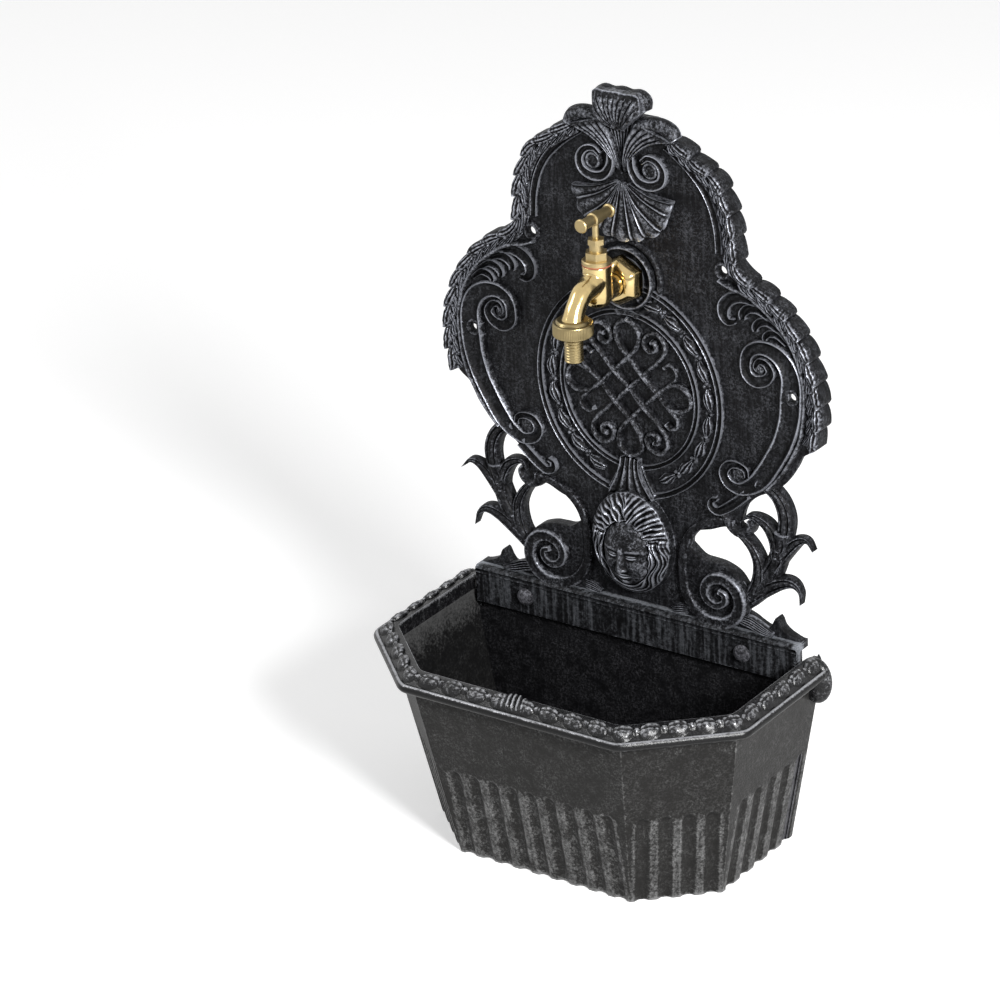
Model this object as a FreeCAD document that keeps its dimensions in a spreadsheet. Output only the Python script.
"""Garden wall fountain: an ornamental back plate, a fluted basin bolted to it, and a brass tap.

Frame: millimetres, +Z up, +X to the viewer's right, the front faces -Y. The wall is the plane Y = 0, the
underside of the basin is Z = 0 and the plane X = 0 is the plane of symmetry.
"""
import FreeCAD
import Part
import Sketcher
import math
import os
import re

V = FreeCAD.Vector
DOWN_THE_FRONT = FreeCAD.Rotation(V(1, 0, 0), 90)
UPRIGHT = FreeCAD.Rotation()

# Every driving dimension, in millimetres unless its name says otherwise.
DIMENSIONS = {
    # back plate: thicknesses, measured from the wall
    "field_front": 10.0,
    "field_wall": 3.5,
    "border_front": 15.0,
    "border_width": 15.0,
    "flange_width": 6.0,
    # back plate: outline, half widths and heights
    "crest_top": 607.0,
    "shoulder_half": 47.0,
    "shoulder_height": 580.0,
    "upper_lobe_half": 101.0,
    "upper_lobe_height": 498.0,
    "waist_half": 108.0,
    "waist_height": 475.0,
    "lower_lobe_half": 172.0,
    "lower_lobe_height": 380.0,
    "lobe_foot_half": 166.0,
    "lobe_foot_height": 344.0,
    "flank_half": 117.0,
    "flank_height": 296.0,
    "knob_half": 97.0,
    "knob_height": 270.0,
    "neck_half": 50.0,
    "neck_top": 254.0,
    "neck_bottom": 222.0,
    # relief of the back plate
    "shell_front": 19.0,
    "shell_lobe": 11.0,
    "shell_reach": 40.0,
    "shell_height": 560.0,
    "shoulder_front": 17.0,
    "finial_half": 24.0,
    "crest_curl": 13.0,
    "crest_curl_half": 27.0,
    "crest_curl_height": 557.0,
    "scroll_front": 17.0,
    "side_volute": 19.0,
    "side_volute_half": 121.0,
    "side_volute_height": 404.0,
    "low_volute": 17.5,
    "low_volute_half": 101.0,
    "low_volute_height": 309.0,
    "scroll_rib": 8.0,
    "base_volute": 26.0,
    "base_volute_half": 77.0,
    "base_volute_height": 203.6,
    "base_volute_front": 18.0,
    "medal_front": 14.0,
    "medal_half": 84.0,
    "medal_rise": 90.0,
    "medal_inner_half": 61.0,
    "medal_inner_rise": 64.0,
    "medal_height": 361.0,
    "medal_rail": 5.0,
    "mask_half": 36.0,
    "mask_rise": 43.0,
    "mask_height": 236.0,
    "mask_depth": 20.0,
    "face_half": 22.0,
    "face_rise": 30.0,
    "face_depth": 28.0,
    "face_drop": 6.0,
    "branch_back": 1.5,
    "branch_front": 11.0,
    "branch_rise": 100.0,
    "branch_leaf": 10.0,
    "branch_knob": 9.0,
    # lip of the plate that laps the basin's back wall
    "lip_half": 150.0,
    "lip_bottom": 146.0,
    "lip_top": 179.0,
    "lip_wall": 7.0,
    # holes for wall screws
    "top_hole_half": 86.5,
    "top_hole_height": 475.5,
    "top_hole": 3.3,
    "side_hole_half": 145.5,
    "side_hole_height": 384.0,
    "side_hole": 2.2,
    # basin
    "basin_height": 145.0,
    "basin_wall": 5.0,
    "basin_floor": 6.0,
    "foot_half": 132.5,
    "foot_front_half": 79.5,
    "foot_side_depth": 104.0,
    "foot_depth": 153.0,
    "top_half": 160.0,
    "top_front_half": 94.5,
    "top_side_depth": 122.0,
    "top_depth": 182.0,
    "rim_overhang": 16.0,
    "rim_underside": 147.0,
    "rim_edge": 158.0,
    "rim_top": 167.0,
    "rim_edge_drop": 4.0,
    "basin_back_top": 172.0,
    "basin_back_half": 149.0,
    "basin_recess": 7.0,
    "basin_rib_half": 119.0,
    "flute_radius": 7.0,
    "flute_depth": 2.4,
    "flute_pitch": 17.5,
    "flute_top": 78.0,
    "flute_foot": 5.0,
    # screws that hold the basin
    "bolt_half": 101.5,
    "bolt_height": 162.0,
    "bolt_shank": 3.0,
    "bolt_clearance": 0.3,
    "bolt_head": 7.3,
    "bolt_head_rise": 4.2,
    "bolt_washer": 6.0,
    "bolt_washer_wall": 1.2,
    "bolt_nut": 5.77,
    "bolt_nut_wall": 4.6,
    "bolt_end": 0.8,
    # tap: inlet and its nuts
    "tap_height": 454.5,
    "tap_reach": 51.5,
    "boss_front": 14.0,
    "boss_radius": 25.5,
    "arm_radius": 9.5,
    "inlet_thread": 10.48,
    "inlet_clearance": 0.3,
    "inlet_end": 14.0,
    "relief_radius": 9.6,
    "relief_length": 1.2,
    "inlet_bore": 4.4,
    "front_washer": 17.0,
    "front_washer_wall": 1.5,
    "wall_nut": 20.6,
    "wall_nut_length": 15.0,
    "thread_fit": 0.05,
    "back_washer": 15.0,
    "back_washer_wall": 1.0,
    "back_nut": 15.6,
    "back_nut_wall": 4.8,
    # tap: body
    "barrel_radius": 11.4,
    "barrel_drop": 10.0,
    "barrel_rise": 24.1,
    "barrel_wall": 3.0,
    "seat_rise": 3.5,
    "seat_wall": 3.0,
    "seat_bore": 5.0,
    "under_seat": 6.8,
    "passage_bore": 3.6,
    "passage_drop": 3.7,
    "spout_radius": 8.8,
    "spout_bore": 5.2,
    "spout_rise": 8.5,
    "spout_bend": 16.7,
    "spout_reach": 34.5,
    "outlet_thread": 13.2,
    "outlet_thread_length": 6.5,
    # tap: headwork
    "gasket_wall": 1.0,
    "bonnet_flange": 11.4,
    "bonnet_flange_wall": 3.2,
    "bonnet_hex": 9.0,
    "bonnet_hex_wall": 6.4,
    "bonnet_spigot": 4.5,
    "collar_radius": 5.3,
    "collar_wall": 8.4,
    "packing_radius": 4.3,
    "gland_nut": 6.8,
    "gland_nut_wall": 4.3,
    "gland_rise": 6.0,
    "stem_radius": 2.6,
    "stem_fit": 0.05,
    "screw_radius": 5.0,
    "screw_length": 18.0,
    "handle_rise": 61.0,
    "head_radius": 5.3,
    "head_length": 8.0,
    "handle_radius": 4.2,
    "handle_half": 17.5,
    "handle_knob": 5.4,
    "handle_knob_wall": 3.0,
    "handle_tenon": 2.0,
    # tap: valve
    "valve_radius": 6.6,
    "valve_washer_wall": 2.5,
    "valve_plate_wall": 2.2,
    "valve_stem": 2.1,
    "valve_stem_length": 8.0,
    "valve_gap": 0.3,
    "valve_screw": 1.5,
    "valve_nut": 2.9,
    "valve_nut_wall": 1.8,
    "valve_lift": 4.5,
    # tap: hose union
    "union_radius": 15.7,
    "union_length": 10.2,
    "union_lip": 2.0,
    "union_hole": 9.2,
    "tail_flange": 12.6,
    "tail_flange_wall": 1.8,
    "tail_neck": 8.8,
    "tail_radius": 6.9,
    "tail_ridge": 7.3,
    "tail_ridge_pitch": 4.2,
    "tail_length": 21.6,
    "tail_bore": 5.2,
    "hose_washer_wall": 1.6,
    "union_gap": 0.3,
}
# Sizes that follow from the ones above.
DERIVED = {
    "barrel_foot": "tap_height - barrel_drop",
    "barrel_top": "tap_height + barrel_rise",
    "seat_height": "tap_height + seat_rise",
    "spout_height": "tap_height + spout_rise",
    "outlet_reach": "tap_reach + spout_reach",
    "handle_height": "tap_height + handle_rise",
    "field_back": "field_front - field_wall",
    "lip_front": "basin_recess + basin_wall + lip_wall",
    "wall_nut_back": "boss_front + front_washer_wall",
    "wall_nut_front": "wall_nut_back + wall_nut_length",
    "gasket_top": "barrel_top + gasket_wall",
    "hex_foot": "gasket_top + bonnet_flange_wall",
    "collar_foot": "hex_foot + bonnet_hex_wall",
    "gland_foot": "collar_foot + gland_rise",
    "gland_top": "gland_foot + gland_nut_wall",
    "chamber_radius": "barrel_radius - barrel_wall",
    "valve_plate_foot": "seat_height + valve_washer_wall",
    "valve_plate_top": "valve_plate_foot + valve_plate_wall",
    "screw_foot": "valve_plate_top + valve_gap",
    "screw_top": "screw_foot + screw_length",
    "outlet_foot": "spout_height - spout_bend - outlet_thread_length",
    "washer_top": "outlet_foot - union_gap",
    "flange_top": "washer_top - hose_washer_wall",
    "flange_foot": "flange_top - tail_flange_wall",
    "union_foot": "flange_foot - union_gap - union_lip",
    "tail_foot": "union_foot - tail_length",
}

doc = FreeCAD.newDocument("wall_fountain")
sheet = doc.addObject("Spreadsheet::Sheet", "Sizes")
NAMES = set(DIMENSIONS) | set(DERIVED)
PARTS = []


def sized(text):
    """An expression in which each size's name points at its cell."""
    return re.sub(r"[a-z]\w+", lambda m: "Sizes." + m.group() if m.group() in NAMES else m.group(), text)


def fill_sheet():
    """Write one row for each size: its name, and its value in a cell that carries the name."""
    for row, (name, size) in enumerate(DIMENSIONS.items(), start=1):
        sheet.set("A%d" % row, name)
        sheet.set("B%d" % row, str(size))
        sheet.setAlias("B%d" % row, name)
    for row, (name, rule) in enumerate(DERIVED.items(), start=len(DIMENSIONS) + 1):
        sheet.set("A%d" % row, name)
        sheet.set("B%d" % row, "=" + rule)
        sheet.setAlias("B%d" % row, name)
    doc.recompute()


fill_sheet()


def size(name):
    """The value of one size."""
    return float(sheet.get(name))


def place(item, where, turn=UPRIGHT):
    """Put an object at a point given in the sheet's words, turned by a fixed rotation."""
    item.Placement = FreeCAD.Placement(V(0, 0, 0), turn)
    for letter, text in zip("xyz", where):
        item.setExpression("Placement.Base." + letter, sized(text))
    return item


def primitive(kind, name, where, turn=UPRIGHT, **sizes):
    """A simple solid whose sizes and place are bound to the sheet."""
    item = doc.addObject("Part::" + kind, name)
    for prop, text in sizes.items():
        item.setExpression(prop, sized(text))
    return place(item, where, turn)


def cylinder(name, radius, length, where, turn=UPRIGHT):
    return primitive("Cylinder", name, where, turn, Radius=radius, Height=length)


def hexagon(name, radius, length, where, turn=UPRIGHT):
    item = doc.addObject("Part::Prism", name)
    item.Polygon = 6
    item.setExpression("Circumradius", sized(radius))
    item.setExpression("Height", sized(length))
    return place(item, where, turn)


def cut(name, base, tool):
    item = doc.addObject("Part::Cut", name)
    item.Base = base
    item.Tool = tool
    return item


def fuse(name, items):
    item = doc.addObject("Part::MultiFuse", name)
    item.Shapes = items
    item.Refine = True
    return item


def common(name, items):
    item = doc.addObject("Part::MultiCommon", name)
    item.Shapes = items
    return item


def group(name, items):
    """Several identical pieces kept under one name, as separate solids."""
    item = doc.addObject("Part::Compound", name)
    item.Links = items
    return item


def keep(item, name):
    """Give a finished sub-part its label and put it on the list of parts."""
    item.Label = name
    PARTS.append(item)
    return item


def turned(name, outline, where, turn=UPRIGHT):
    """A body turned about its own Z axis from an outline of (radius, height) pairs."""
    body = doc.addObject("PartDesign::Body", name + "_body")
    plane = [part for part in body.Origin.OriginFeatures if part.Role == "XZ_Plane"][0]
    sketch = body.newObject("Sketcher::SketchObject", name + "_outline")
    sketch.AttachmentSupport = (plane, [""])
    sketch.MapMode = "FlatFace"
    count = len(outline)
    rough = [V(20 + 10 * math.cos(6.28 * k / count), 10 * math.sin(6.28 * k / count), 0) for k in range(count)]
    for k in range(count):
        sketch.addGeometry(Part.LineSegment(rough[k], rough[(k + 1) % count]), False)
    for k in range(count):
        sketch.addConstraint(Sketcher.Constraint("Coincident", k, 2, (k + 1) % count, 1))
    for k, (radius, height) in enumerate(outline):
        for kind, text, line in (("DistanceX", radius, -2), ("DistanceY", height, -1)):
            if text == "0":
                sketch.addConstraint(Sketcher.Constraint("PointOnObject", k, 1, line))
                continue
            where_to = sketch.addConstraint(Sketcher.Constraint(kind, -1, 1, k, 1, 5.0 + k))
            sketch.setExpression("Constraints[%d]" % where_to, sized(text))
    revolution = body.newObject("PartDesign::Revolution", name + "_turning")
    revolution.Profile = sketch
    revolution.ReferenceAxis = (sketch, ["V_Axis"])
    revolution.Angle = 360
    body.Tip = revolution
    return place(body, where, turn)


def ring(name, inner, outer, wall, where, turn=UPRIGHT):
    """A flat washer."""
    outline = [(inner, "0"), (outer, "0"), (outer, wall), (inner, wall)]
    return turned(name, outline, where, turn)


def at_tap(y, height):
    """A point on the middle plane, at tap height words."""
    return ("0", y, height)


def on_stem(height):
    """A point on the spindle's axis."""
    return ("0", "-tap_reach", height)


STEM_AXIS = on_stem("0")


def tap_inlet_nuts():
    """The nuts and washers that clamp the back plate on the threaded inlet."""
    ring("tap_front_washer", "inlet_thread + inlet_clearance", "front_washer", "front_washer_wall",
         at_tap("-boss_front", "tap_height"), DOWN_THE_FRONT)
    keep(doc.getObject("tap_front_washer_body"), "tap_front_washer")
    blank = hexagon("wall_nut_blank", "wall_nut", "wall_nut_length", at_tap("-wall_nut_back", "tap_height"),
                    DOWN_THE_FRONT)
    dome = turned("wall_nut_dome", [
        ("inlet_thread + thread_fit", "0"),
        ("wall_nut - 1.2", "0"),
        ("wall_nut", "1.2"),
        ("wall_nut", "wall_nut_length * 0.45"),
        ("wall_nut - 1.6", "wall_nut_length * 0.72"),
        ("wall_nut - 5.2", "wall_nut_length"),
        ("inlet_thread + thread_fit", "wall_nut_length"),
    ], at_tap("-wall_nut_back", "tap_height"), DOWN_THE_FRONT)
    keep(common("wall_nut_shape", [blank, dome]), "tap_wall_nut")
    ring("tap_back_washer", "inlet_thread + inlet_clearance", "back_washer", "back_washer_wall",
         at_tap("-field_back + back_washer_wall", "tap_height"), DOWN_THE_FRONT)
    keep(doc.getObject("tap_back_washer_body"), "tap_back_washer")
    blank = hexagon("back_nut_blank", "back_nut", "back_nut_wall",
                    at_tap("-field_back + back_washer_wall + back_nut_wall", "tap_height"), DOWN_THE_FRONT)
    bore = cylinder("back_nut_bore", "inlet_thread + thread_fit", "back_nut_wall",
                    at_tap("-field_back + back_washer_wall + back_nut_wall", "tap_height"), DOWN_THE_FRONT)
    keep(cut("back_nut_shape", blank, bore), "tap_back_nut")


def spout_path():
    """The middle line of the spout: forwards from the barrel, round a bend and down to the outlet."""
    height = size("spout_height")
    bend = size("spout_bend")
    start = V(0, -size("tap_reach"), height)
    before = V(0, -size("outlet_reach") + bend, height)
    short = bend * (1 - math.sqrt(0.5))
    middle = V(0, -size("outlet_reach") + short, height - short)
    after = V(0, -size("outlet_reach"), height - bend)
    return Part.Wire([Part.LineSegment(start, before).toShape(), Part.Arc(before, middle, after).toShape()])


def spout_tube(radius):
    """A round tube along the spout's middle line."""
    start = V(0, -size("tap_reach"), size("spout_height"))
    section = Part.Wire([Part.Circle(start, V(0, -1, 0), radius).toShape()])
    return spout_path().makePipeShell([section], True, False)


def tap_body():
    """The cast body: threaded inlet, round barrel with the valve seat, curved spout and outlet thread."""
    spout = doc.addObject("Part::Feature", "spout_outside")
    spout.Shape = spout_tube(size("spout_radius"))
    spout_way = doc.addObject("Part::Feature", "spout_inside")
    spout_way.Shape = spout_tube(size("spout_bore"))
    outside = [
        cylinder("barrel", "barrel_radius", "barrel_top - barrel_foot", on_stem("barrel_foot")),
        cylinder("arm", "arm_radius", "tap_reach - wall_nut_front", at_tap("-wall_nut_front", "tap_height"),
                 DOWN_THE_FRONT),
        cylinder("clamped_thread", "inlet_thread", "wall_nut_front",
                 at_tap("0", "tap_height"), DOWN_THE_FRONT),
        cylinder("thread_relief", "relief_radius", "relief_length",
                 at_tap("relief_length", "tap_height"), DOWN_THE_FRONT),
        cylinder("inlet_thread_end", "inlet_thread", "inlet_end - relief_length",
                 at_tap("inlet_end", "tap_height"), DOWN_THE_FRONT),
        cylinder("outlet_end", "outlet_thread", "outlet_thread_length", ("0", "-outlet_reach", "outlet_foot")),
        spout,
    ]
    inside = [
        cylinder("headwork_chamber", "chamber_radius", "barrel_top - seat_height", on_stem("seat_height")),
        cylinder("seat_way", "seat_bore", "seat_wall", on_stem("seat_height - seat_wall")),
        cylinder("lower_chamber", "under_seat", "seat_height - seat_wall - barrel_foot - barrel_wall",
                 on_stem("barrel_foot + barrel_wall")),
        cylinder("inlet_way", "inlet_bore", "inlet_end + tap_reach - barrel_radius + 2",
                 at_tap("inlet_end", "tap_height"), DOWN_THE_FRONT),
        cylinder("passage", "passage_bore", "barrel_radius + inlet_bore",
                 at_tap("-tap_reach + barrel_radius + inlet_bore", "tap_height - passage_drop"), DOWN_THE_FRONT),
        cylinder("outlet_way", "spout_bore", "outlet_thread_length", ("0", "-outlet_reach", "outlet_foot")),
        spout_way,
    ]
    keep(cut("tap_body_shape", fuse("tap_outside", outside), fuse("tap_inside", inside)), "tap_body")


def headwork():
    """The bonnet screwed into the barrel, its gasket, and the gland that seals the stem."""
    ring("bonnet_gasket", "chamber_radius + 0.1", "bonnet_flange", "gasket_wall", on_stem("barrel_top"))
    keep(doc.getObject("bonnet_gasket_body"), "bonnet_gasket")
    core = turned("bonnet_core", [
        ("screw_radius + stem_fit", "gasket_top - bonnet_spigot"),
        ("chamber_radius - 0.05", "gasket_top - bonnet_spigot"),
        ("chamber_radius - 0.05", "gasket_top"),
        ("bonnet_flange", "gasket_top"),
        ("bonnet_flange", "hex_foot - 0.8"),
        ("bonnet_flange - 0.8", "hex_foot"),
        ("bonnet_hex * 0.85", "hex_foot"),
        ("bonnet_hex * 0.85", "collar_foot"),
        ("collar_radius", "collar_foot"),
        ("collar_radius", "collar_foot + collar_wall"),
        ("packing_radius + 0.05", "collar_foot + collar_wall"),
        ("packing_radius + 0.05", "collar_foot"),
        ("stem_radius + 0.3", "collar_foot"),
        ("stem_radius + 0.3", "screw_top + valve_lift + 0.5"),
        ("screw_radius + stem_fit", "screw_top + valve_lift + 0.5"),
    ], STEM_AXIS)
    blank = hexagon("bonnet_hex_blank", "bonnet_hex", "bonnet_hex_wall", on_stem("hex_foot"))
    hollow = cylinder("bonnet_hex_hollow", "bonnet_hex * 0.85 - 0.5", "bonnet_hex_wall", on_stem("hex_foot"))
    keep(fuse("bonnet_shape", [core, cut("bonnet_hex_ring", blank, hollow)]), "bonnet")
    ring("gland_packing", "stem_radius + stem_fit", "packing_radius", "collar_wall + 0.3",
         on_stem("collar_foot"))
    keep(doc.getObject("gland_packing_body"), "gland_packing")
    blank = hexagon("gland_nut_blank", "gland_nut", "gland_nut_wall", on_stem("gland_foot"))
    inside = turned("gland_nut_inside", [
        ("stem_radius + 0.3", "gland_top"),
        ("gland_nut", "gland_top"),
        ("gland_nut", "gland_foot"),
        ("collar_radius + 0.05", "gland_foot"),
        ("collar_radius + 0.05", "collar_foot + collar_wall + 0.3"),
        ("stem_radius + 0.3", "collar_foot + collar_wall + 0.3"),
    ], STEM_AXIS)
    keep(common("gland_nut_shape", [blank, inside]), "gland_nut")


def spindle_and_handle():
    """The screwed spindle, its cross-drilled head, the bar through it and a knob on each end of the bar."""
    stem = turned("spindle_core", [
        ("valve_stem + 0.3", "screw_foot"),
        ("screw_radius", "screw_foot"),
        ("screw_radius", "screw_top"),
        ("stem_radius", "screw_top"),
        ("stem_radius", "handle_height"),
        ("0", "handle_height"),
        ("0", "screw_foot + valve_stem_length + 0.5"),
        ("valve_stem + 0.3", "screw_foot + valve_stem_length + 0.5"),
    ], STEM_AXIS)
    head = cylinder("spindle_head", "head_radius", "head_length",
                    ("0", "-tap_reach + head_length / 2", "handle_height"), DOWN_THE_FRONT)
    drilling = cylinder("head_drilling", "handle_radius + 0.05", "head_length",
                        ("0", "-tap_reach + head_length / 2", "handle_height"), DOWN_THE_FRONT)
    keep(cut("spindle_shape", fuse("spindle_blank", [stem, head]), drilling), "spindle")
    bar = cylinder("handle_rod", "handle_radius", "2 * handle_half",
                   ("0", "-tap_reach + handle_half", "handle_height"), DOWN_THE_FRONT)
    tenons = cylinder("handle_tenons", "handle_tenon", "2 * (handle_half + handle_knob_wall)",
                      ("0", "-tap_reach + handle_half + handle_knob_wall", "handle_height"), DOWN_THE_FRONT)
    keep(fuse("handle_bar_shape", [bar, tenons]), "handle_bar")
    knobs = []
    ends = (("near", "-tap_reach - handle_half"), ("far", "-tap_reach + handle_half + handle_knob_wall"))
    for end, start in ends:
        knob = turned("handle_knob_" + end, [
            ("handle_tenon + 0.02", "0"),
            ("handle_knob - 0.6", "0"),
            ("handle_knob", "0.6"),
            ("handle_knob", "handle_knob_wall - 0.6"),
            ("handle_knob - 0.6", "handle_knob_wall"),
            ("handle_tenon + 0.02", "handle_knob_wall"),
        ], ("0", start, "handle_height"), DOWN_THE_FRONT)
        knobs.append(knob)
    keep(group("handle_knobs_pair", knobs), "handle_knobs")


def valve():
    """The valve plate under the spindle, its soft washer on the seat, and the nut that holds the washer."""
    keep(turned("valve_jumper", [
        ("0", "seat_height - valve_nut_wall - 0.5"),
        ("valve_screw", "seat_height - valve_nut_wall - 0.5"),
        ("valve_screw", "valve_plate_foot"),
        ("valve_radius", "valve_plate_foot"),
        ("valve_radius", "valve_plate_top"),
        ("valve_stem", "valve_plate_top"),
        ("valve_stem", "valve_plate_top + valve_stem_length"),
        ("0", "valve_plate_top + valve_stem_length"),
    ], STEM_AXIS), "valve_jumper")
    keep(ring("jumper_washer", "valve_screw + 0.02", "valve_radius", "valve_washer_wall",
              on_stem("seat_height")), "jumper_washer")
    blank = hexagon("jumper_nut_blank", "valve_nut", "valve_nut_wall", on_stem("seat_height - valve_nut_wall"))
    bore = cylinder("jumper_nut_bore", "valve_screw + 0.02", "valve_nut_wall",
                    on_stem("seat_height - valve_nut_wall"))
    keep(cut("jumper_nut_shape", blank, bore), "jumper_nut")


def hose_union():
    """The union nut, the hose tail that it draws up, and the washer between the tail and the outlet."""
    spout_axis = ("0", "-outlet_reach", "0")
    keep(turned("hose_union_nut", [
        ("union_hole", "union_foot"),
        ("union_radius - 0.8", "union_foot"),
        ("union_radius", "union_foot + 0.8"),
        ("union_radius", "union_foot + union_length - 0.8"),
        ("union_radius - 0.8", "union_foot + union_length"),
        ("outlet_thread + thread_fit", "union_foot + union_length"),
        ("outlet_thread + thread_fit", "union_foot + union_lip"),
        ("union_hole", "union_foot + union_lip"),
    ], spout_axis), "hose_union_nut")
    outline = [
        ("tail_bore", "tail_foot"),
        ("tail_radius", "tail_foot"),
    ]
    ridges = int((size("tail_length") - 3.0) / size("tail_ridge_pitch"))
    for k in range(ridges):
        foot = "tail_foot + 1.5 + %d * tail_ridge_pitch" % k
        outline += [
            ("tail_radius", foot),
            ("tail_ridge", foot + " + tail_ridge_pitch * 0.7"),
            ("tail_radius", foot + " + tail_ridge_pitch * 0.75"),
        ]
    outline += [
        ("tail_radius", "union_foot - 1.0"),
        ("tail_neck", "union_foot - 1.0"),
        ("tail_neck", "flange_foot"),
        ("tail_flange", "flange_foot"),
        ("tail_flange", "flange_top"),
        ("tail_bore", "flange_top"),
    ]
    keep(turned("hose_tail", outline, spout_axis), "hose_tail")
    keep(ring("hose_washer", "tail_bore + 1.5", "tail_flange - 0.2", "hose_washer_wall",
              ("0", "-outlet_reach", "flange_top")), "hose_washer")


def basin_fixings():
    """Two domed screws through the plate's lip and the basin's back wall, each with a washer and a nut."""
    screws = []
    washers = []
    nuts = []
    for side, sign in (("left", "-"), ("right", "")):
        x = sign + "bolt_half"
        screws.append(turned("basin_bolt_" + side, [
            ("0", "-(lip_front - basin_recess + bolt_washer_wall + bolt_nut_wall + bolt_end)"),
            ("bolt_shank", "-(lip_front - basin_recess + bolt_washer_wall + bolt_nut_wall + bolt_end)"),
            ("bolt_shank", "0"),
            ("bolt_head", "0"),
            ("bolt_head", "bolt_head_rise * 0.2"),
            ("bolt_head * 0.9", "bolt_head_rise * 0.55"),
            ("bolt_head * 0.6", "bolt_head_rise * 0.88"),
            ("0", "bolt_head_rise"),
        ], (x, "-lip_front", "bolt_height"), DOWN_THE_FRONT))
        washers.append(ring("basin_washer_" + side, "bolt_shank + 0.2", "bolt_washer", "bolt_washer_wall",
                            (x, "-basin_recess + bolt_washer_wall", "bolt_height"), DOWN_THE_FRONT))
        seat = "-basin_recess + bolt_washer_wall + bolt_nut_wall"
        where = (x, seat, "bolt_height")
        blank = hexagon("basin_nut_blank_" + side, "bolt_nut", "bolt_nut_wall", where, DOWN_THE_FRONT)
        bore = cylinder("basin_nut_bore_" + side, "bolt_shank + thread_fit", "bolt_nut_wall", where, DOWN_THE_FRONT)
        nuts.append(cut("basin_nut_" + side, blank, bore))
    keep(group("basin_bolts_pair", screws), "basin_bolts")
    keep(group("basin_washers_pair", washers), "basin_bolt_washers")
    keep(group("basin_nuts_pair", nuts), "basin_bolt_nuts")


def plan(half, front_half, side_depth, depth, height, back=0.0):
    """The basin's plan at one height: straight back, two square sides, two cut corners and a front."""
    corners = [
        V(-half, -back, height),
        V(-half, -side_depth, height),
        V(-front_half, -depth, height),
        V(front_half, -depth, height),
        V(half, -side_depth, height),
        V(half, -back, height),
    ]
    return Part.makePolygon(corners + [corners[0]])


def moved_plan(measures, outset, height, back=0.0):
    """A plan whose walls are all moved outwards by the same distance, or inwards when it is below zero."""
    half, front_half, side_depth, depth = measures
    corner = math.atan2(depth - side_depth, half - front_half)
    return plan(half + outset, front_half + outset * math.tan(corner / 2),
                side_depth + outset * math.tan((math.pi / 2 - corner) / 2), depth + outset, height, back)


def body_plan(height, outset=0.0, back=0.0):
    """The plan of the basin's tapering body at a height, with its walls moved outwards."""
    share = height / size("basin_height")
    measures = []
    for low, high in (("foot_half", "top_half"), ("foot_front_half", "top_front_half"),
                      ("foot_side_depth", "top_side_depth"), ("foot_depth", "top_depth")):
        measures.append(size(low) + (size(high) - size(low)) * share)
    return moved_plan(measures, outset, height, back)


def rim_plan(height, outset):
    """The plan at the top of the basin's body, drawn at another height with its walls moved outwards."""
    measures = [size(name) for name in ("top_half", "top_front_half", "top_side_depth", "top_depth")]
    return moved_plan(measures, outset, height)


def flute(start, along, outward):
    """A groove up a wall: a round bar with a round top, sunk so that it bites to the flute's depth."""
    radius = size("flute_radius")
    foot = size("flute_foot")
    top = size("flute_top")
    axis = along.normalize()
    centre = start + outward * (radius - size("flute_depth"))
    across = outward.cross(axis)
    shoulder = centre + axis * top
    side = Part.LineSegment(centre + axis * foot + across * radius, shoulder + across * radius).toShape()
    crown = Part.Arc(shoulder + across * radius, shoulder + (across + axis) * (radius * math.sqrt(0.5)),
                     shoulder + axis * radius).toShape()
    middle = Part.LineSegment(shoulder + axis * radius, centre + axis * foot).toShape()
    end = Part.LineSegment(centre + axis * foot, centre + axis * foot + across * radius).toShape()
    return Part.Face(Part.Wire([side, crown, middle, end])).revolve(centre, axis, 360)


def wall_flutes():
    """Evenly pitched flutes on the front, the cut corners and the sides, each up the slope of its wall."""
    low = [v.Point for v in body_plan(0.0).OrderedVertexes]
    high = [v.Point for v in body_plan(size("basin_height")).OrderedVertexes]
    grooves = []
    for k in range(5):
        a, b = low[k], low[k + 1]
        top_a, top_b = high[k], high[k + 1]
        run = b - a
        count = max(1, int(run.Length / size("flute_pitch")))
        across = FreeCAD.Vector(run).normalize()
        rise = (top_a + top_b - a - b) * 0.5
        slope = rise - across * rise.dot(across)
        outward = across.cross(slope).normalize()
        if outward.y > 0 or abs(outward.y) < 0.01 and outward.x * a.x < 0:
            outward = outward * -1
        for n in range(count):
            start = a + run * ((n + 0.5) / count)
            grooves.append(flute(start, FreeCAD.Vector(slope), outward))
    return grooves


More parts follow.
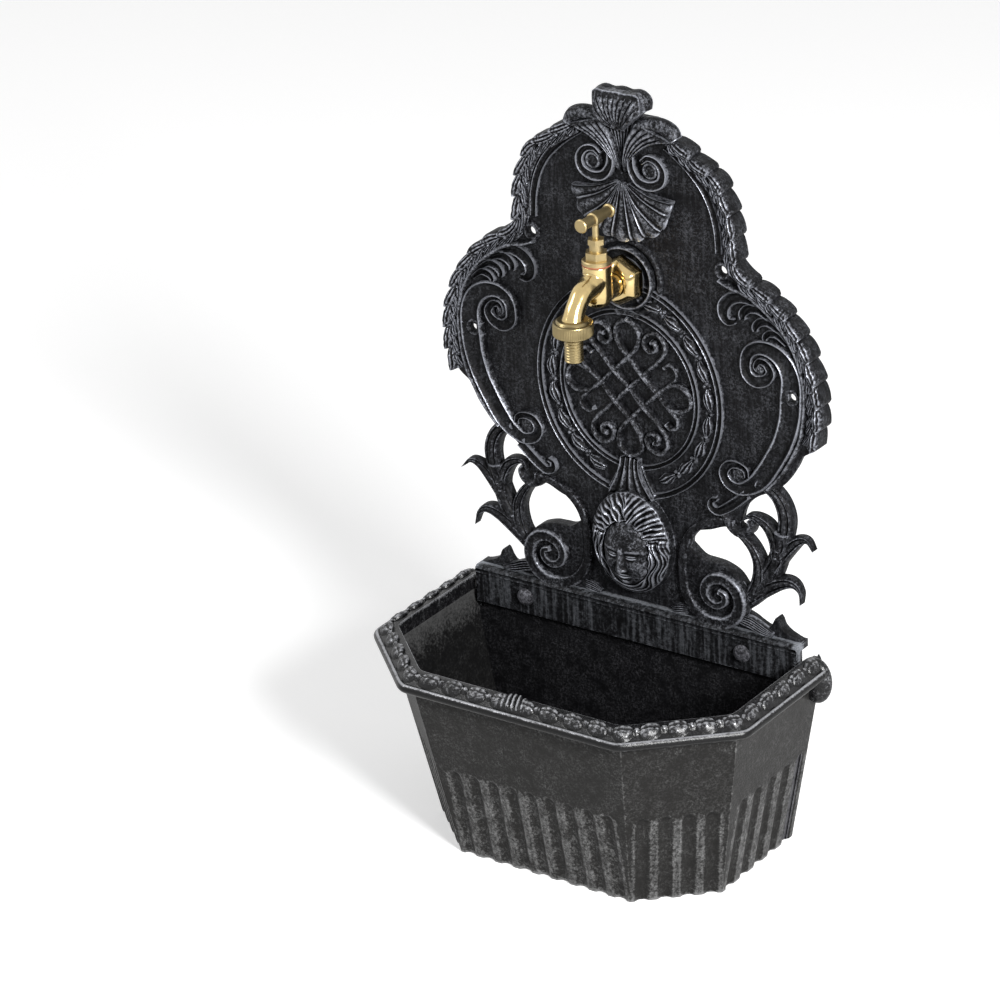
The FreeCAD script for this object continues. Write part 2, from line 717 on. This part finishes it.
def basin():
    """The basin: a tapering shell with a floor, a rolled rim, a recessed back wall and a fluted foot."""
    height = size("basin_height")
    outer = Part.makeLoft([body_plan(0.0), body_plan(height)], True, True).cut(wall_flutes())
    wall = size("basin_wall")
    floor = size("basin_floor")
    top = size("rim_top")
    back = size("basin_recess") + wall
    edge = size("rim_overhang")
    drop = size("rim_edge_drop")
    rings = [
        rim_plan(height, 0.0),
        rim_plan(size("rim_underside"), edge * 0.6),
        rim_plan(size("rim_edge") - drop, edge),
        rim_plan(size("rim_edge") + drop, edge),
        rim_plan(top, edge * 0.45),
    ]
    for below, above in zip(rings, rings[1:]):
        outer = outer.fuse(Part.makeLoft([below, above], True, True))
    inner = Part.makeLoft([body_plan(floor, -wall, back), body_plan(top + 1.0, -wall, back)], True, True)
    shell = outer.cut(inner)
    half = size("basin_back_half")
    low = height - floor
    tongue = Part.makeBox(2 * half, wall, size("basin_back_top") - low, V(-half, -back, low))
    ribs = size("basin_rib_half")
    recess = Part.makeBox(2 * ribs, size("basin_recess"), top, V(-ribs, -size("basin_recess"), floor))
    shell = shell.fuse(tongue).cut(recess)
    upper_recess = Part.makeBox(2 * half, size("basin_recess"), top, V(-half, -size("basin_recess"), low))
    shell = shell.cut(upper_recess)
    for sign in (-1, 1):
        hole = Part.makeCylinder(size("bolt_shank") + size("bolt_clearance"), 3 * back,
                                 V(sign * size("bolt_half"), back, size("bolt_height")), V(0, -1, 0))
        shell = shell.cut(hole)
    item = doc.addObject("Part::Feature", "basin_casting")
    item.Shape = shell.removeSplitter()
    keep(item, "basin")


class Outline:
    """A closed outline in the plate's plane, drawn with straight lines and three-point arcs."""

    def __init__(self, x, z):
        self.start = V(x, 0, z)
        self.last = self.start
        self.edges = []

    def line(self, x, z):
        there = V(x, 0, z)
        self.edges.append(Part.LineSegment(self.last, there).toShape())
        self.last = there
        return self

    def arc(self, through_x, through_z, x, z):
        there = V(x, 0, z)
        self.edges.append(Part.Arc(self.last, V(through_x, 0, through_z), there).toShape())
        self.last = there
        return self

    def wire(self):
        if self.last.distanceToPoint(self.start) > 1e-6:
            self.line(self.start.x, self.start.z)
        return Part.Wire(self.edges)


def slab(wire, back, front):
    """A solid between two distances from the wall, with the given outline."""
    return Part.Face(wire.translated(V(0, -back, 0))).extrude(V(0, back - front, 0))


def both_sides(shape):
    """A shape and its mirror image in the plane of symmetry."""
    return [shape, shape.mirror(V(0, 0, 0), V(1, 0, 0))]


def plate_outline(inset=0.0):
    """The plate's outline from the crest to the neck, mirrored and closed, moved inwards by an inset."""
    upper_half = size("upper_lobe_half") - inset
    upper_height = size("upper_lobe_height")
    waist_half = size("waist_half") - inset
    waist = size("waist_height") - inset * 0.4
    lower_half = size("lower_lobe_half") - inset
    lower_height = size("lower_lobe_height")
    foot_half = size("lobe_foot_half") - inset
    foot = size("lobe_foot_height") + inset * 0.2
    flank_half = size("flank_half") - inset * 0.7
    flank = size("flank_height") + inset * 0.7
    knob_half = size("knob_half") - inset
    knob = size("knob_height") + inset * 0.3
    neck_half = size("neck_half") - inset * 0.8
    neck_top = size("neck_top") + inset * 0.5
    neck_bottom = size("neck_bottom")
    shoulder = size("shoulder_height") - inset
    right = Outline(0, shoulder + 8.0)
    right.line(30.0, shoulder)
    right.arc(upper_half - 17.0, upper_height + 47.0 - inset * 0.4, upper_half, upper_height)
    right.arc(upper_half + 1.0, upper_height - 13.0, waist_half, waist)
    right.arc(waist_half + 45.0 - inset * 0.3, waist - 36.0 - inset * 0.3, lower_half, lower_height)
    right.arc(lower_half + 0.2, lower_height - 18.0, foot_half, foot)
    right.line(foot_half - 13.0, foot - 7.0)
    right.arc(foot_half - 27.0, foot - 31.0 + inset * 0.1, flank_half, flank)
    right.arc(knob_half + 6.0, flank - 9.0, knob_half, knob)
    right.line(knob_half - 2.0, neck_top + 2.0)
    right.line(neck_half + 7.0, neck_top)
    right.arc(neck_half + 1.0, neck_top - 12.0, neck_half, neck_bottom)
    right.line(neck_half + 3.0, size("lip_top") - 1.0)
    right.line(0, size("lip_top") - 1.0)
    half = Part.Wire(right.edges)
    other = half.mirror(V(0, 0, 0), V(1, 0, 0))
    return Part.Wire(Part.__sortEdges__(half.Edges + other.Edges))


def blade(base, bend, tip, base_width, tip_width):
    """The outline of a curved leaf or stem: two arcs beside its middle line and a round end."""
    base, bend, tip = [V(x, 0, z) for x, z in (base, bend, tip)]
    widths = [base_width / 2.0, (base_width * 0.55 + tip_width * 0.45) / 2.0, tip_width / 2.0]
    chord_in = (bend - base).normalize()
    chord_out = (tip - bend).normalize()
    middle = (chord_in + chord_out).normalize()
    first = (chord_in * 2.0 - middle).normalize()
    last = (chord_out * 2.0 - middle).normalize()
    sides = [V(d.z, 0, -d.x) for d in (first, middle, last)]
    points = [base, bend, tip]
    right = [p + n * w for p, n, w in zip(points, sides, widths)]
    left = [p - n * w for p, n, w in zip(points, sides, widths)]
    edges = [
        Part.Arc(right[0], right[1], right[2]).toShape(),
        Part.Arc(right[2], tip + last * widths[2], left[2]).toShape(),
        Part.Arc(left[2], left[1], left[0]).toShape(),
        Part.LineSegment(left[0], right[0]).toShape(),
    ]
    return Part.Wire(edges)


def disc(half, height, radius, back, front):
    """A round boss on the plate."""
    return Part.makeCylinder(radius, front - back, V(half, -back, height), V(0, -1, 0))


def oval_ring(half, rise, rail, height, back, front):
    """A raised oval rail."""
    def oval(a, b, start, end):
        along = (V(0, 0, 1), V(1, 0, 0)) if b > a else (V(1, 0, 0), V(0, 0, 1))
        long_half, short_half = max(a, b), min(a, b)
        middle = V(0, -start, height)
        curve = Part.Ellipse(middle + along[0] * long_half, middle + along[1] * short_half, middle)
        return Part.Face(Part.Wire([curve.toShape()])).extrude(V(0, start - end, 0))
    return oval(half, rise, back, front).cut(oval(half - rail, rise - rail, back - 1.0, front + 1.0))


def crest(back):
    """The scallop finial, the two shoulder leaves, the curls beside the stem and the hanging shell."""
    shell_front = size("shell_front")
    top = size("crest_top")
    fan = size("finial_half")
    finial = Outline(-fan * 0.62, top - 24.0)
    finial.arc(-fan * 0.8, top - 14.0, -fan, top - 8.0)
    finial.arc(0, top + 3.5, fan, top - 8.0)
    finial.arc(fan * 0.8, top - 14.0, fan * 0.62, top - 24.0)
    finial.line(fan * 0.5, top - 50.0)
    finial.line(-fan * 0.5, top - 50.0)
    pieces = [slab(finial.wire(), back, shell_front)]
    shoulder = (size("shoulder_half"), size("shoulder_height"))
    leaf = blade((8.0, shoulder[1] - 26.0), (shoulder[0] * 0.55, shoulder[1] - 5.0), shoulder, 24.0, 7.0)
    pieces += both_sides(slab(leaf, back, size("shoulder_front")))
    pieces += both_sides(disc(size("crest_curl_half"), size("crest_curl_height"), size("crest_curl"), back,
                              size("shoulder_front")))
    reach = size("shell_reach")
    height = size("shell_height")
    lobe = size("shell_lobe")
    pieces.append(disc(0, height, reach - lobe * 0.6, back, shell_front))
    for k in range(5):
        angle = math.radians(-90 + 36 * (k - 2))
        middle = ((reach - lobe * 0.3) * math.cos(angle) * 0.9, height + reach * math.sin(angle))
        pieces.append(disc(middle[0], middle[1], lobe, back, shell_front))
    return pieces


def side_scrolls(back):
    """On each side a volute in the lower lobe, a smaller one at its foot and the rib that joins them."""
    front = size("scroll_front")
    high = (size("side_volute_half"), size("side_volute_height"))
    low = (size("low_volute_half"), size("low_volute_height"))
    rib = size("scroll_rib")
    pieces = both_sides(disc(high[0], high[1], size("side_volute"), back, front))
    pieces += both_sides(disc(low[0], low[1], size("low_volute"), back, front))
    edge = size("lower_lobe_half")
    channel = blade((high[0] + size("side_volute") * 0.5, high[1] + 4.0),
                    (edge - 27.0, (high[1] + low[1]) / 2.0),
                    (low[0] + size("low_volute") * 0.6, low[1] - size("low_volute") * 0.7), rib, rib)
    pieces += both_sides(slab(channel, back, front))
    spray = blade((high[0] - 12.0, high[1] + 12.0), (high[0] - 18.0, high[1] + 30.0),
                  (high[0] - 4.0, high[1] + 44.0), 20.0, 12.0)
    pieces += both_sides(slab(spray, back, front))
    return pieces


def branches():
    """The openwork acanthus on each side, between the plate's flank and the volute at its base."""
    back = size("branch_back")
    front = size("branch_front")
    root = (size("base_volute_half") + size("base_volute") * 0.75, size("base_volute_height") - 1.0)
    rise = size("branch_rise")
    width = size("branch_leaf")
    # Each leaf: its base, bend and tip as shares of the rise from the root, and its two widths in leaf widths.
    leaves = [
        ((0.0, 0.0), (0.21, 0.19), (0.34, 0.58), 1.5, 1.5),
        ((0.34, 0.54), (0.40, 0.79), (0.26, 1.01), 1.4, 0.9),
        ((0.13, 0.05), (0.36, 0.25), (0.54, 0.18), 1.2, 0.6),
        ((0.24, 0.28), (0.43, 0.57), (0.60, 0.63), 1.3, 0.7),
        ((0.33, 0.44), (0.25, 0.70), (0.08, 0.77), 1.0, 0.6),
        ((0.12, 0.10), (0.14, 0.38), (0.03, 0.58), 1.1, 0.8),
    ]
    pieces = []
    for base, bend, tip, base_width, tip_width in leaves:
        points = [(root[0] + rise * across, root[1] + rise * up) for across, up in (base, bend, tip)]
        pieces += both_sides(slab(blade(*points, width * base_width, width * tip_width), back, front))
    knob = (size("knob_half"), size("knob_height") - 5.0)
    pieces += both_sides(disc(knob[0], knob[1], size("branch_knob"), back, front + 2.0))
    return pieces


def plate_base():
    """The volutes above the lip, the web behind them, the horns and the lip itself."""
    volute = (size("base_volute_half"), size("base_volute_height"))
    radius = size("base_volute")
    lip_top = size("lip_top")
    pieces = both_sides(disc(volute[0], volute[1], radius, 0.0, size("base_volute_front")))
    web = Outline(size("neck_half") - 4.0, size("neck_bottom") + 1.0)
    web.arc(volute[0] - 14.0, volute[1] + radius * 0.86, volute[0], volute[1] + radius)
    web.line(volute[0], lip_top - 1.0)
    web.line(size("neck_half") - 4.0, lip_top - 1.0)
    pieces += both_sides(slab(web.wire(), 0.0, size("field_front")))
    horn_tip = (size("lip_half") - 14.0, lip_top + 17.0)
    horn = Outline(volute[0] + radius * 0.5, lip_top - 1.0)
    horn.line(volute[0] + radius * 0.8, lip_top + 12.0)
    horn.arc(horn_tip[0] - 20.0, lip_top + 4.5, horn_tip[0] - 9.0, lip_top + 8.0)
    horn.line(horn_tip[0] - 3.0, horn_tip[1])
    horn.line(horn_tip[0] + 2.0, horn_tip[1])
    horn.arc(horn_tip[0] + 9.0, lip_top + 4.0, size("lip_half"), lip_top - 1.0)
    pieces += both_sides(slab(horn.wire(), 0.0, size("field_front")))
    half = size("lip_half")
    back = size("basin_recess") + size("basin_wall")
    front = size("lip_front")
    pieces.append(Part.makeBox(2 * half, front - back, lip_top - size("lip_bottom"),
                               V(-half, -front, size("lip_bottom"))))
    shelf = size("basin_back_top") + 0.5
    pieces.append(Part.makeBox(2 * half, back, lip_top - shelf, V(-half, -back, shelf)))
    return pieces


def mask():
    """A plain head in low relief: a bed of hair and a smooth oval face."""
    def egg(half, depth, rise, height):
        ball = Part.makeSphere(1.0)
        stretch = FreeCAD.Matrix(half, 0, 0, 0, 0, depth, 0, -back, 0, 0, rise, height, 0, 0, 0, 1)
        return ball.transformGeometry(stretch)
    back = size("field_back")
    middle = size("mask_height")
    hair = egg(size("mask_half"), size("mask_depth") - back, size("mask_rise"), middle)
    face = egg(size("face_half"), size("face_depth") - back, size("face_rise"), middle - size("face_drop"))
    reach = 2 * size("mask_rise")
    front = Part.makeBox(2 * reach, reach, 2 * reach, V(-reach, -reach - back, middle - reach))
    return [hair.common(front), face.common(front)]


def back_plate():
    """The back plate as one casting, with its relief, its hollow back, its lip and its holes."""
    field_back = size("field_back")
    field_front = size("field_front")
    outline = plate_outline()
    plate = slab(outline, 0.0, field_front)
    plate = plate.fuse(slab(outline, 0.0, size("border_front")).cut(
        slab(plate_outline(size("border_width")), -1.0, size("border_front") + 1.0)))
    hollow = slab(plate_outline(size("flange_width")), -1.0, field_back)
    relief = crest(field_back) + side_scrolls(field_back) + mask()
    relief.append(oval_ring(size("medal_half"), size("medal_rise"), size("medal_rail"), size("medal_height"),
                            field_back, size("medal_front")))
    relief.append(oval_ring(size("medal_inner_half"), size("medal_inner_rise"), size("medal_rail") * 0.7,
                            size("medal_height"), field_back, size("medal_front") - 1.0))
    relief.append(disc(0, size("tap_height"), size("boss_radius"), field_back, size("boss_front")))
    plate = plate.cut(hollow)
    plate = plate.fuse(relief)
    plate = plate.fuse(plate_base() + branches())
    holes = [(0, size("tap_height"), size("inlet_thread") + size("inlet_clearance"))]
    for sign in (-1, 1):
        holes.append((sign * size("top_hole_half"), size("top_hole_height"), size("top_hole")))
        holes.append((sign * size("side_hole_half"), size("side_hole_height"), size("side_hole")))
        holes.append((sign * size("bolt_half"), size("bolt_height"), size("bolt_shank") + size("bolt_clearance")))
    through = 2 * size("lip_front")
    plate = plate.cut([disc(half, height, radius, -1.0, through) for half, height, radius in holes])
    item = doc.addObject("Part::Feature", "back_plate_casting")
    item.Shape = plate
    keep(item, "back_plate")


def check_and_write():
    """Stop if anything failed to build, then write each sub-part to its own file."""
    doc.recompute()
    for item in doc.Objects:
        if "Invalid" in item.State or "Error" in item.State:
            raise ValueError("%s failed to build" % item.Name)
    for item in PARTS:
        if item.Shape.isNull() or not item.Shape.isValid() or not item.Shape.Solids:
            raise ValueError("%s has no valid solid" % item.Label)
    os.makedirs("parts", exist_ok=True)
    for item in PARTS:
        item.Shape.exportStep("parts/%s.step" % item.Label)
        print(item.Label, len(item.Shape.Solids), "solids, volume", round(item.Shape.Volume, 1))


def main():
    back_plate()
    basin()
    basin_fixings()
    tap_inlet_nuts()
    tap_body()
    headwork()
    spindle_and_handle()
    valve()
    hose_union()
    check_and_write()


main()
